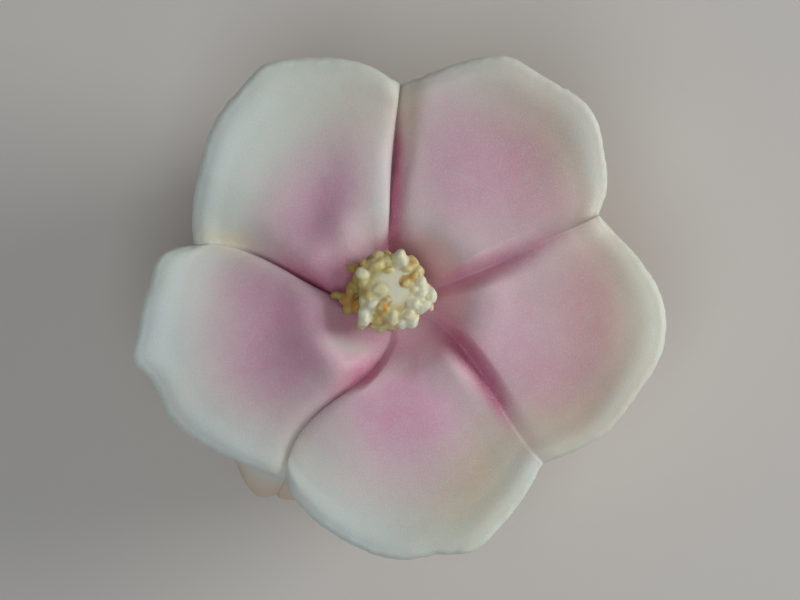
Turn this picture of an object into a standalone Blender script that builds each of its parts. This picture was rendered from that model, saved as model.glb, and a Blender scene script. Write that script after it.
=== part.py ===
"""Namagashi: a bean-paste sweet shaped as an open five-petalled flower, with sieved crumbs in its heart.

The flower is one solid of soft dough. It began as a ball, was parted into five by pressed grooves, and each
fifth was thumbed out into a thin-edged petal. The stamens are a short column of yellow paste covered with
crumbs, set down into the heart of the flower. Metres, +Z up, standing on the flat of its base.
"""

import math

import bmesh
import bpy
import numpy as np
from mathutils import Euler, Matrix, Vector

MM = 0.001

# Driving dimensions of the flower. Angles are in degrees, anticlockwise from +X, about the flower's heart.
REACH = 26.8 * MM            # from the heart to a petal's edge, where the section below is drawn
BASE_RADIUS = 11.5 * MM      # the flat that it stands on
HEART_WIDTH = 4.5 * MM       # nearer the heart than this, both widths draw in
OVERHANG = 0.15 * MM         # how far the lip bulges over the crease
TIP_LIFT = 0.16              # how far a petal's edge rises for each millimetre that its outline reaches out
OVER_LIFT = 0.45             # share of the ridge's lift on a petal that lies over the next
UNDER_LIFT = 0.25            # and on the one under it
RIDGE_POWER = 3.0            # how closely the ridges keep to the petal's sides

# The petal's section along its middle, from the heart out over the edge and down to the base, in millimetres:
# radius, height, lift of the ridges at its sides, sink of the grooves, how far the grooves are pinched in
# towards the axis, and the share of the petal's own reach that this place takes.
SECTION = (
    (0.0, 21.2, 0.0, 0.0, 0.0, 0.00),
    (2.6, 21.2, 0.0, 0.0, 0.0, 0.01),
    (4.5, 21.4, 0.0, 0.1, 0.0, 0.03),
    (6.0, 22.2, 0.0, 0.6, 0.0, 0.05),
    (7.7, 23.4, 0.1, 1.5, 0.0, 0.08),
    (9.8, 24.15, 0.3, 2.1, 0.0, 0.13),
    (12.6, 24.15, 0.5, 1.9, 0.0, 0.21),
    (15.8, 24.0, 0.7, 1.4, 0.0, 0.34),
    (19.0, 24.1, 0.7, 0.95, 0.0, 0.50),
    (22.4, 24.65, 0.6, 0.75, 0.0, 0.70),
    (25.6, 25.2, 0.5, 0.65, 0.0, 0.92),
    (26.55, 25.0, 0.4, 0.65, 0.0, 0.99),
    (26.8, 24.6, 0.4, 0.7, 0.05, 1.00),
    (26.6, 24.1, 0.4, 0.8, 0.1, 0.98),
    (25.2, 22.8, 0.3, 0.9, 0.6, 0.78),
    (22.9, 20.4, 0.1, 0.6, 1.2, 0.24),
    (22.3, 16.2, 0.0, 0.2, 1.4, 0.05),
    (21.6, 11.2, 0.0, 0.0, 1.2, 0.00),
    (19.7, 6.2, 0.0, 0.0, 0.8, 0.00),
    (16.6, 2.3, 0.0, 0.0, 0.4, 0.00),
    (13.7, 0.5, 0.0, 0.0, 0.1, 0.00),
    (11.5, 0.0, 0.0, 0.0, 0.0, 0.00),
)
EDGE_ROW = 12                # the row at the petal's very edge
FLANK_ROW = 15               # from this row down the section is the ball's side

# Each groove: the angle and radius of the notch where it meets the edge, how its angle bends on its way in
# (first and second order in the share of the way), +1 if the petal on its anticlockwise side lies on top, the
# widths of the lip that lies over it and of the slope that tucks under that lip, its share of the sink on the
# way in and at the edge, and how far out it is an open valley and from where its lip is closed.
GROOVES = (
    ("lower right", -46.6, 21.8 * MM, -3.0, 41.5, -1, 4.0 * MM, 2.4 * MM, 0.65, 0.4, 19.0 * MM, 30.0 * MM),
    ("right", 23.8, 22.6 * MM, -3.0, 1.0, 1, 2.6 * MM, 3.2 * MM, 0.9, 0.12, 17.0 * MM, 27.0 * MM),
    ("top", 88.9, 22.3 * MM, 5.0, 6.0, 1, 2.2 * MM, 4.8 * MM, 0.8, 3.4, 5.0 * MM, 10.0 * MM),
    ("left", 163.4, 21.2 * MM, -26.0, 54.0, 1, 2.0 * MM, 6.0 * MM, 1.4, 3.0, 4.0 * MM, 8.0 * MM),
    ("lower left", 238.0, 20.6 * MM, -38.0, 84.0, 1, 1.8 * MM, 4.4 * MM, 0.45, 0.6, 7.5 * MM, 12.0 * MM),
)
WIDEST_LIP = 3.4 * MM        # where a petal's outline is read against its columns

# The pinched outline of each petal between its two notches, as angle and millimetres from the heart.
OUTLINES = (
    ("right", ((-40, 23.1), (-30, 25.0), (-20, 26.0), (-9, 27.45), (2, 26.9), (10, 25.2), (18, 23.5))),
    ("upper right", ((28, 24.2), (36, 26.1), (44, 27.75), (56, 27.45), (66.5, 27.25), (75, 25.15), (84, 23.0))),
    ("upper left", ((90.4, 22.7), (93, 23.5), (99, 24.9), (109, 26.4), (119, 27.5), (124.5, 26.85), (132, 26.1),
                    (146, 23.85), (156, 22.5))),
    ("left", ((165, 22.6), (176, 24.95), (186, 26.1), (192, 27.0), (196, 26.0), (207, 25.4), (219, 23.3),
              (230, 21.7), (234, 21.2))),
    ("lower", ((240.4, 21.5), (244, 22.2), (256, 24.0), (272, 25.55), (279, 25.35), (287, 25.9), (296, 24.5),
               (307, 22.8))),
)

# Under the lower left notch the ball's side swells out past the petals.
SWELL = 2.2 * MM
SWELL_ANGLE = 233.5
SWELL_SPREADS = (9.0, 7.0)   # before and past its middle

# Where a thumb pressed the petals deeper, and where the dough swells: place from the heart, long and short
# spread, turn of the long way, and how far it lies below the section, negative for a swell, in millimetres.
HOLLOWS = (
    ("left petal", -13.0, -4.4, 5.6, 4.0, 40.0, 0.75),
    ("left petal, by the heart", -7.0, -2.0, 5.0, 3.2, 108.0, -1.6),
    ("left petal's shoulder", -6.2, -5.0, 3.6, 1.8, -32.0, -0.7),
    ("left petal, low", -25.0, -11.0, 9.0, 7.5, 120.0, 2.0),
    ("upper left petal", -7.8, 9.4, 6.4, 3.6, 60.0, 0.55),
    ("upper left petal, by the lip", -4.0, 12.6, 7.5, 3.0, 85.0, -0.6),
    ("upper left petal, by the heart", -4.9, 6.6, 3.6, 1.8, 110.0, -0.6),
    ("upper left petal's top", -8.0, 28.0, 9.0, 5.5, 0.0, 1.0),
    ("upper left petal, low", -20.6, 7.0, 8.5, 4.4, 165.0, 2.0),
    ("lower petal's shoulder", 0.2, -6.6, 4.6, 2.2, -4.0, -0.6),
    ("lower petal, in the heart", 2.6, -4.8, 3.4, 1.8, -30.0, -0.8),
    ("lower petal's right end", 8.0, -27.0, 6.0, 5.0, 0.0, -0.8),
    ("lower petal, left", -4.8, -13.2, 6.4, 4.8, 70.0, -0.8),
    ("lower petal, right", 6.2, -9.0, 5.8, 3.2, 125.0, 0.6),
    ("right petal, by the heart", 7.4, -1.6, 5.6, 3.8, 80.0, -1.3),
    ("right petal, by the upper groove", 13.0, 1.6, 4.0, 2.4, 20.0, 0.3),
    ("right petal, outer", 29.0, -1.6, 10.0, 6.0, 95.0, 1.6),
    ("right petal, low", 18.4, -10.6, 5.0, 4.0, 60.0, 0.3),
    ("upper right petal, by the heart", 5.4, 6.4, 3.6, 2.4, 140.0, -0.6),
    ("upper right petal", 12.0, 13.0, 6.4, 5.0, 50.0, 0.3),
    ("upper right petal, outer", 23.0, 10.0, 6.0, 5.4, 70.0, 1.7),
)

# How finely the dough is laid out: columns over a petal's middle and over each of its edges, rings between
# one row of the section and the next above and below the edge, and the rings of the base.
MIDDLE_COLUMNS = 15
EDGE_COLUMNS = 4
RINGS_ABOVE = 2
RINGS_BELOW = 1
BASE_RINGS = (0.55,)

# Driving dimensions of the stamens, about their own middle. The heart of the flower is at (0, 0).
STAMENS_AT = (-0.45 * MM, 1.45 * MM)
STAMENS_FOOT = 21.7 * MM
STAMENS_TOP = 27.3 * MM
COLUMN_RADIUS = 3.4 * MM
CAP_RADIUS = 2.3 * MM
CRUMB_SIZES = (0.48 * MM, 0.78 * MM)
CRUMB_ROWS = ((26.8, 2.75, 13), (25.9, 3.3, 15), (24.7, 3.35, 12), (23.3, 3.15, 8))   # height, radius, number
CRUMB_TRAIL = ((24.6, -3.7, 0.3), (24.2, -4.4, 0.1), (23.9, -5.0, 0.2))              # height, and place in X and Y
CRUMB_SCATTER = 0.15 * MM
CRUMB_SEED = 5

# Colours as linear light, with roughness.
DOUGH_COLOUR = (0.66, 0.52, 0.52, 1.0)
DOUGH_ROUGHNESS = 0.72
CRUMB_COLOUR = (0.70, 0.58, 0.30, 1.0)
CRUMB_ROUGHNESS = 0.8


def curve_through(x, knots, values):
    """A smooth curve through a few points: cubic pieces whose slope at a point is that of its neighbours."""
    slopes = np.gradient(values, knots)
    i = np.clip(np.searchsorted(knots, x, side="right") - 1, 0, len(knots) - 2)
    span = knots[i + 1] - knots[i]
    u = np.clip((x - knots[i]) / span, 0.0, 1.0)
    start = values[i] * (1 + 2 * u) * (1 - u) ** 2 + slopes[i] * span * u * (1 - u) ** 2
    end = values[i + 1] * u * u * (3 - 2 * u) - slopes[i + 1] * span * u * u * (1 - u)
    return start + end


def ease(x):
    """Rises from 0 to 1 with no slope or bend at either end."""
    x = np.clip(x, 0.0, 1.0)
    return x ** 3 * (x * (6.0 * x - 15.0) + 10.0)


def soft_blot(x, y, row):
    """A patch that fades as the exponential of the squared distance, longer one way than the other."""
    name, bx, by, long, short, turn, strength = row[:7]
    c, s = math.cos(math.radians(turn)), math.sin(math.radians(turn))
    dx, dy = x / MM - bx, y / MM - by
    away = ((dx * c + dy * s) / long) ** 2 + ((dy * c - dx * s) / short) ** 2
    return strength * np.exp(-away)


def section_rows(rings_above, rings_below):
    """The section's six values on every ring, by a smooth curve through its rows along their length."""
    rows = np.array(SECTION)
    steps = np.hypot(np.diff(rows[:, 0]), np.diff(rows[:, 1]))
    knots = np.concatenate(([0.0], np.cumsum(steps)))
    counts = [rings_above if row < EDGE_ROW else rings_below for row in range(len(rows) - 1)]
    places = [np.linspace(a, b, n, endpoint=False) for a, b, n in zip(knots, knots[1:], counts)]
    places = np.append(np.concatenate(places), knots[-1])
    values = np.stack([curve_through(places, knots, rows[:, k]) for k in range(rows.shape[1])])
    values[:5] *= MM
    flank = ease((places - knots[EDGE_ROW]) / (knots[FLANK_ROW] - knots[EDGE_ROW]))
    return values, flank


def groove_angle(groove, radius):
    """Where a groove runs at each radius: straight in from its notch, bending as it nears the heart."""
    notch, notch_radius, bend, curl = groove[1:5]
    way_in = 1.0 - np.clip(radius / notch_radius, 0.18, 1.0)
    return np.radians(notch + bend * way_in + curl * way_in ** 2)


def edge_place(share, lip, closing, radius, width):
    """How far from the groove an edge column lies, as an angle: a closed lip bulges back over the crease."""
    if not lip:
        return width * share
    steep = share * (1.0 - closing) + share ** 2 * closing
    bulge = 6.75 * share * (1.0 - share) ** 2 * OVERHANG * closing
    return width * steep - bulge / np.maximum(radius, HEART_WIDTH)


def edge_drop(share, lip, closing):
    """How far an edge column has sunk to the groove: a soft valley where it is open, a rolled lip over a shallow
    slope where it is closed."""
    rolled = 1.0 - np.sqrt(1.0 - (1.0 - share) ** 2) if lip else (1.0 - share) ** 3
    return (1.0 - share) ** 2 * (1.0 + 0.5 * share) * (1.0 - closing) + rolled * closing


def petal_grid(index, rings_above, rings_below, middle_columns, edge_columns):
    """One petal as a grid of points, ring by column, from one groove up to but not onto the next."""
    values, flank = section_rows(rings_above, rings_below)
    along, height, lift, sink, pinch, share = (v[:, None] for v in values)
    flank = flank[:, None]
    start, end = GROOVES[index], GROOVES[(index + 1) % len(GROOVES)]
    turn = 2.0 * math.pi if index == len(GROOVES) - 1 else 0.0
    start_lip, end_lip = start[5] > 0, end[5] < 0
    start_width = start[6] if start_lip else start[7]
    end_width = end[6] if end_lip else end[7]

    steps = np.arange(edge_columns) / edge_columns
    middle = np.linspace(0.0, 1.0, middle_columns)
    start_share = np.concatenate((steps, np.ones(middle_columns + edge_columns - 1)))[None, :]
    end_share = np.concatenate((np.ones(edge_columns + middle_columns), steps[:0:-1]))[None, :]
    across = np.concatenate((np.zeros(edge_columns), middle, np.ones(edge_columns - 1)))[None, :]

    # The outline's reach at each column, read at the angle where that column meets the petal's edge.
    angles, reaches = zip(*OUTLINES[index][1])
    angles = np.radians((start[1],) + angles + (end[1] + math.degrees(turn),))
    reaches = np.array((start[2] / MM,) + reaches + (end[2] / MM,)) * MM

    def closing(groove, radius):
        opened, closed = groove[10:12]
        return ease((radius - opened) / (closed - opened)) * (1.0 - flank)

    def column_angles(radius):
        inner = groove_angle(start, radius)
        outer = groove_angle(end, radius) + turn
        room = 0.4 * (outer - inner)
        first, last = (room * np.tanh(width / (radius + HEART_WIDTH) / room) for width in (start_width, end_width))
        near = inner + edge_place(start_share, start_lip, closing(start, radius), radius, first)
        far = outer - edge_place(end_share, end_lip, closing(end, radius), radius, last)
        between = inner + first + across * (outer - last - inner - first)
        edge = np.where(start_share < 1.0, near, between)
        return np.where(end_share < 1.0, far, edge)

    edge_angle = column_angles(np.full_like(along, REACH - WIDEST_LIP))[0]
    reach = curve_through(edge_angle, angles, reaches)[None, :]
    first, last = angles[0], angles[-1]
    side = 2.0 * (edge_angle - first) / (last - first) - 1.0
    ridge = np.where(side < 0.0, OVER_LIFT if start_lip else UNDER_LIFT, OVER_LIFT if end_lip else UNDER_LIFT)
    ridge = (ridge * np.abs(side) ** RIDGE_POWER)[None, :]
    past = (np.degrees(edge_angle) % 360.0) - SWELL_ANGLE
    swell = np.exp(-(past / np.where(past < 0.0, *SWELL_SPREADS)) ** 2)[None, :]

    body = flank * np.clip((along - BASE_RADIUS) / (REACH - BASE_RADIUS) * 2.0, 0.0, 1.0)
    start_drop = edge_drop(start_share, start_lip, closing(start, along))
    end_drop = edge_drop(end_share, end_lip, closing(end, along))
    drop = np.maximum(start_drop, end_drop)
    outward = ease((along - 10.0 * MM) / (11.0 * MM))
    starts = start_drop > end_drop
    depth = np.where(starts, start[8], end[8]) * (1.0 - outward) + np.where(starts, start[9], end[9]) * outward
    radius = along + share * (reach - REACH) - pinch * drop * (1.0 - swell) + SWELL * swell * body
    theta = column_angles(radius)
    x, y = radius * np.cos(theta), radius * np.sin(theta)
    z = height + lift * ridge - sink * depth * drop + TIP_LIFT * share ** 2 * (reach - REACH)
    for hollow in HOLLOWS:
        z = z - soft_blot(x, y, hollow) * MM * (1.0 - flank) * (1.0 - drop)
    return np.stack((x, y, z), axis=-1)


def flower_points(rings_above, rings_below, middle_columns, edge_columns, base_rings):
    """The whole skin, ring by column, from the floor of the heart to the base, about the heart's axis."""
    layout = (rings_above, rings_below, middle_columns, edge_columns)
    petals = [petal_grid(i, *layout) for i in range(len(GROOVES))]
    skin = np.concatenate(petals, axis=1)
    foot = skin[-1]
    return np.concatenate((skin[1:], np.stack([foot * (scale, scale, 0.0) for scale in base_rings])))


def box_middle(points):
    """The middle of the box round the flower, seen from above, which becomes the part's origin."""
    flat = points.reshape(-1, 3)[:, :2]
    return (flat.min(axis=0) + flat.max(axis=0)) / 2.0


def loft(name, rings, top, bottom):
    """A closed skin over rings of points, outermost faces facing out, with a point at each pole."""
    count, columns = rings.shape[:2]
    points = np.vstack((rings.reshape(-1, 3), top, bottom))
    here = np.arange(columns)
    after = (here + 1) % columns
    faces = []
    for ring in range(count - 1):
        a, b = ring * columns, (ring + 1) * columns
        faces += np.stack((a + here, b + here, b + after, a + after), axis=1).tolist()
    faces += [(count * columns, i, j) for i, j in zip(here, after)]
    last = (count - 1) * columns
    faces += [(count * columns + 1, last + j, last + i) for i, j in zip(here, after)]
    mesh = bpy.data.meshes.new(name)
    mesh.from_pydata(points.tolist(), [], [tuple(int(i) for i in face) for face in faces])
    mesh.shade_smooth()
    return mesh


def material(name, colour, roughness):
    """A plain dough or crumb finish."""
    made = bpy.data.materials.new(name)
    made.use_nodes = True
    shader = made.node_tree.nodes["Principled BSDF"]
    shader.inputs["Base Color"].default_value = colour
    shader.inputs["Roughness"].default_value = roughness
    shader.inputs["Metallic"].default_value = 0.0
    return made


def make_flower(collection):
    """The dough: one solid, its skin a loft from the heart over the petals and down to the base."""
    rings = flower_points(RINGS_ABOVE, RINGS_BELOW, MIDDLE_COLUMNS, EDGE_COLUMNS, BASE_RINGS)
    centre = box_middle(rings)
    rings = rings - (centre[0], centre[1], 0.0)
    top = (-centre[0], -centre[1], SECTION[0][1] * MM)
    bottom = (-centre[0], -centre[1], 0.0)
    flower = bpy.data.objects.new("flower", loft("flower", rings, top, bottom))
    flower.data.materials.append(material("dough", DOUGH_COLOUR, DOUGH_ROUGHNESS))
    collection.objects.link(flower)
    return centre


def make_column(collection):
    """The column that carries the crumbs: a profile turned about its axis, flat below and crowned on top."""
    foot, top, radius = STAMENS_FOOT, STAMENS_TOP, COLUMN_RADIUS
    profile = [
        (0.0, top),
        (CAP_RADIUS * 0.6, top - 0.06 * MM),
        (CAP_RADIUS, top - 0.25 * MM),
        (radius * 0.93, top - 1.0 * MM),
        (radius, top - 2.4 * MM),
        (radius * 0.94, foot + 1.4 * MM),
        (radius * 0.62, foot),
        (0.0, foot),
    ]
    mesh = bpy.data.meshes.new("column")
    mesh.from_pydata([(r, 0.0, z) for r, z in profile], [(i, i + 1) for i in range(len(profile) - 1)], [])
    column = bpy.data.objects.new("stamens", mesh)
    collection.objects.link(column)
    turned = column.modifiers.new("turned", "SCREW")
    turned.steps = turned.render_steps = 16
    turned.use_merge_vertices = True
    turned.merge_threshold = 0.01 * MM
    return column


def make_crumb(collection, random, place):
    """One sieved crumb: a small irregular faceted grain, turned and stretched at random."""
    size = random.uniform(*CRUMB_SIZES)
    stretch = Matrix.Diagonal((*random.uniform(0.85, 1.25, 3), 1.0))
    turn = Euler(random.uniform(0.0, math.pi, 3)).to_matrix().to_4x4()
    shape = bmesh.new()
    bmesh.ops.create_icosphere(shape, subdivisions=1, radius=size)
    bmesh.ops.transform(shape, matrix=Matrix.Translation(place) @ turn @ stretch, verts=shape.verts)
    mesh = bpy.data.meshes.new("crumb")
    shape.to_mesh(mesh)
    shape.free()
    collection.objects.link(bpy.data.objects.new("crumb", mesh))


def make_crumbs(collection):
    """Rows of crumbs round the column, and a short trail of them on its left."""
    random = np.random.default_rng(CRUMB_SEED)
    for row, (height, radius, count) in enumerate(CRUMB_ROWS):
        for i in range(count):
            angle = 2.0 * math.pi * (i + 0.5 * row) / count + random.uniform(-0.12, 0.12)
            out = radius * MM + random.uniform(0.1, 0.45) * CRUMB_SIZES[0]
            up = height * MM + random.uniform(-CRUMB_SCATTER, CRUMB_SCATTER)
            make_crumb(collection, random, Vector((out * math.cos(angle), out * math.sin(angle), up)))
    for height, x, y in CRUMB_TRAIL:
        make_crumb(collection, random, Vector((x, y, height)) * MM)


def make_stamens(collection, centre):
    """The column with its crumbs joined to it as one solid."""
    column = make_column(collection)
    crumbs = bpy.data.collections.new("crumbs")
    bpy.context.scene.collection.children.link(crumbs)
    make_crumbs(crumbs)
    joined = column.modifiers.new("joined", "BOOLEAN")
    joined.operation = "UNION"
    joined.operand_type = "COLLECTION"
    joined.collection = crumbs
    joined.solver = "EXACT"
    bpy.context.view_layer.update()
    whole = bpy.data.meshes.new_from_object(column.evaluated_get(bpy.context.evaluated_depsgraph_get()))
    column.modifiers.clear()
    column.data = whole
    column.location = (STAMENS_AT[0] - centre[0], STAMENS_AT[1] - centre[1], 0.0)
    for crumb in list(crumbs.objects):
        bpy.data.objects.remove(crumb, do_unlink=True)
    bpy.data.collections.remove(crumbs)
    whole.materials.clear()
    whole.materials.append(material("crumbs", CRUMB_COLOUR, CRUMB_ROUGHNESS))


def main():
    for old in list(bpy.data.objects):
        bpy.data.objects.remove(old, do_unlink=True)
    sweet = bpy.data.collections.new("namagashi")
    bpy.context.scene.collection.children.link(sweet)
    centre = make_flower(sweet)
    make_stamens(sweet, centre)


main()
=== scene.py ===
"""The looks of a namagashi: a bean-paste flower of soft blushed dough, with a cluster of sieved crumbs."""

import math
from collections import namedtuple

import bmesh
import bpy
import numpy as np
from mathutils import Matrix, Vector


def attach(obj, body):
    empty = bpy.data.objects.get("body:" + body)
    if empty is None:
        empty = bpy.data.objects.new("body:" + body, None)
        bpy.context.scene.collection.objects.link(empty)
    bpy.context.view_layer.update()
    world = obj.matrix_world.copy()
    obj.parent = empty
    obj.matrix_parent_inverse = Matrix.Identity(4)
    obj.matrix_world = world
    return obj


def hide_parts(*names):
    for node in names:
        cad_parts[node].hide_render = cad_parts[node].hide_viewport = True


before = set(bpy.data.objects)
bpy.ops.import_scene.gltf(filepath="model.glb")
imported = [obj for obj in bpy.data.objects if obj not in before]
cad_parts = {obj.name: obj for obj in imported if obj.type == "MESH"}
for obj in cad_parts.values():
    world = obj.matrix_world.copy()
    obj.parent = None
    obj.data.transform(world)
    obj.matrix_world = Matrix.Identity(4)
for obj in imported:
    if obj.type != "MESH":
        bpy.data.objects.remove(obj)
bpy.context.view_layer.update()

MM = 0.001

# The flower's driving dimensions, as its solid has them. Angles are in degrees about the flower's heart.
REACH = 26.8 * MM            # from the heart to a petal's edge, where the section below is drawn
BASE_RADIUS = 11.5 * MM      # the flat that it stands on
HEART_WIDTH = 4.5 * MM       # nearer the heart than this, both widths draw in
OVERHANG = 0.15 * MM         # how far the lip bulges over the crease
TIP_LIFT = 0.16              # how far a petal's edge rises for each millimetre that its outline reaches out
OVER_LIFT = 0.45             # share of the ridge's lift on a petal that lies over the next
UNDER_LIFT = 0.25            # and on the one under it
RIDGE_POWER = 3.0            # how closely the ridges keep to the petal's sides
WIDEST_EDGE = 0.4            # the edge columns of either side take at most this share of a petal's width
SINK_TURNS = 10.0 * MM       # from here out a groove's share of the sink turns from its inner to its outer one,
SINK_TURNS_OVER = 11.0 * MM  # over this way
STRAIGHT_WITHIN = 0.18       # nearer the heart than this share of its notch's radius, a groove bends no more

# The petal's section along its middle, from the heart out over the edge and down to the base, in millimetres:
# radius, height, lift of the ridges at its sides, sink of the grooves, how far the grooves are pinched in
# towards the axis, and the share of the petal's own reach that this place takes.
SECTION = (
    (0.0, 21.2, 0.0, 0.0, 0.0, 0.00),
    (2.6, 21.2, 0.0, 0.0, 0.0, 0.01),
    (4.5, 21.4, 0.0, 0.1, 0.0, 0.03),
    (6.0, 22.2, 0.0, 0.6, 0.0, 0.05),
    (7.7, 23.4, 0.1, 1.5, 0.0, 0.08),
    (9.8, 24.15, 0.3, 2.1, 0.0, 0.13),
    (12.6, 24.15, 0.5, 1.9, 0.0, 0.21),
    (15.8, 24.0, 0.7, 1.4, 0.0, 0.34),
    (19.0, 24.1, 0.7, 0.95, 0.0, 0.50),
    (22.4, 24.65, 0.6, 0.75, 0.0, 0.70),
    (25.6, 25.2, 0.5, 0.65, 0.0, 0.92),
    (26.55, 25.0, 0.4, 0.65, 0.0, 0.99),
    (26.8, 24.6, 0.4, 0.7, 0.05, 1.00),
    (26.6, 24.1, 0.4, 0.8, 0.1, 0.98),
    (25.2, 22.8, 0.3, 0.9, 0.6, 0.78),
    (22.9, 20.4, 0.1, 0.6, 1.2, 0.24),
    (22.3, 16.2, 0.0, 0.2, 1.4, 0.05),
    (21.6, 11.2, 0.0, 0.0, 1.2, 0.00),
    (19.7, 6.2, 0.0, 0.0, 0.8, 0.00),
    (16.6, 2.3, 0.0, 0.0, 0.4, 0.00),
    (13.7, 0.5, 0.0, 0.0, 0.1, 0.00),
    (11.5, 0.0, 0.0, 0.0, 0.0, 0.00),
)
EDGE_ROW = 12                # the row at the petal's very edge
FLANK_ROW = 15               # from this row down the section is the ball's side

# Each groove: the angle and radius of the notch where it meets the edge, how its angle bends on its way in
# (first and second order in the share of the way), +1 if the petal on its anticlockwise side lies on top, the
# widths of the lip that lies over it and of the slope that tucks under that lip, its share of the sink on the
# way in and at the edge, how far out it is an open valley and from where its lip is closed, and how pink it is
# and how far out. Lengths are in millimetres.
Groove = namedtuple("Groove", "name notch notch_radius bend curl side lip tuck sink_in sink_out opened closed"
                              " pink pink_reach")
GROOVES = (
    Groove("lower right", -46.6, 21.8, -3.0, 41.5, -1, 4.0, 2.4, 0.65, 0.4, 19.0, 30.0, 1.1, 15.0),
    Groove("right", 23.8, 22.6, -3.0, 1.0, 1, 2.6, 3.2, 0.9, 0.12, 17.0, 27.0, 0.65, 17.5),
    Groove("top", 88.9, 22.3, 5.0, 6.0, 1, 2.2, 4.8, 0.8, 3.4, 5.0, 10.0, 1.3, 17.0),
    Groove("left", 163.4, 21.2, -26.0, 54.0, 1, 2.0, 6.0, 1.4, 3.0, 4.0, 8.0, 1.0, 11.5),
    Groove("lower left", 238.0, 20.6, -38.0, 84.0, 1, 1.8, 4.4, 0.45, 0.6, 7.5, 12.0, 0.9, 9.5),
)
OUTLINE_INSET = 3.4 * MM     # how far inside the edge a petal's outline is read against its columns

# The pinched outline of each petal between its two notches, as angle and millimetres from the heart.
OUTLINES = (
    ("right", ((-40, 23.1), (-30, 25.0), (-20, 26.0), (-9, 27.45), (2, 26.9), (10, 25.2), (18, 23.5))),
    ("upper right", ((28, 24.2), (36, 26.1), (44, 27.75), (56, 27.45), (66.5, 27.25), (75, 25.15), (84, 23.0))),
    ("upper left", ((90.4, 22.7), (93, 23.5), (99, 24.9), (109, 26.4), (119, 27.5), (124.5, 26.85), (132, 26.1),
                    (146, 23.85), (156, 22.5))),
    ("left", ((165, 22.6), (176, 24.95), (186, 26.1), (192, 27.0), (196, 26.0), (207, 25.4), (219, 23.3),
              (230, 21.7), (234, 21.2))),
    ("lower", ((240.4, 21.5), (244, 22.2), (256, 24.0), (272, 25.55), (279, 25.35), (287, 25.9), (296, 24.5),
               (307, 22.8))),
)

# Under the lower left notch the ball's side swells out past the petals.
SWELL = 2.2 * MM
SWELL_ANGLE = 233.5
SWELL_SPREADS = (9.0, 7.0)   # before and past its middle

# Where a thumb pressed the petals deeper, and where the dough swells: place from the heart, long and short
# spread, turn of the long way, and how far it lies below the section, negative for a swell, in millimetres.
HOLLOWS = (
    ("left petal", -13.0, -4.4, 5.6, 4.0, 40.0, 0.75),
    ("left petal, by the heart", -7.0, -2.0, 5.0, 3.2, 108.0, -1.6),
    ("left petal's shoulder", -6.2, -5.0, 3.6, 1.8, -32.0, -0.7),
    ("left petal, low", -25.0, -11.0, 9.0, 7.5, 120.0, 2.0),
    ("upper left petal", -7.8, 9.4, 6.4, 3.6, 60.0, 0.55),
    ("upper left petal, by the lip", -4.0, 12.6, 7.5, 3.0, 85.0, -0.6),
    ("upper left petal, by the heart", -4.9, 6.6, 3.6, 1.8, 110.0, -0.6),
    ("upper left petal's top", -8.0, 28.0, 9.0, 5.5, 0.0, 1.0),
    ("upper left petal, low", -20.6, 7.0, 8.5, 4.4, 165.0, 2.0),
    ("lower petal's shoulder", 0.2, -6.6, 4.6, 2.2, -4.0, -0.6),
    ("lower petal, in the heart", 2.6, -4.8, 3.4, 1.8, -30.0, -0.8),
    ("lower petal's right end", 8.0, -27.0, 6.0, 5.0, 0.0, -0.8),
    ("lower petal, left", -4.8, -13.2, 6.4, 4.8, 70.0, -0.8),
    ("lower petal, right", 6.2, -9.0, 5.8, 3.2, 125.0, 0.6),
    ("right petal, by the heart", 7.4, -1.6, 5.6, 3.8, 80.0, -1.3),
    ("right petal, by the upper groove", 13.0, 1.6, 4.0, 2.4, 20.0, 0.3),
    ("right petal, outer", 29.0, -1.6, 10.0, 6.0, 95.0, 1.6),
    ("right petal, low", 18.4, -10.6, 5.0, 4.0, 60.0, 0.3),
    ("upper right petal, by the heart", 5.4, 6.4, 3.6, 2.4, 140.0, -0.6),
    ("upper right petal", 12.0, 13.0, 6.4, 5.0, 50.0, 0.3),
    ("upper right petal, outer", 23.0, 10.0, 6.0, 5.4, 70.0, 1.7),
)

# The solid's own layout, which fixes where the heart lies in its box: rings above and below the edge, and
# columns over a petal's middle and edges. The skin is the same form laid out finely.
SOLID_LAYOUT = (2, 1, 15, 4)
SKIN_LAYOUT = (9, 5, 92, 16)
BASE_RINGS = (0.8, 0.55, 0.3)

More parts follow.
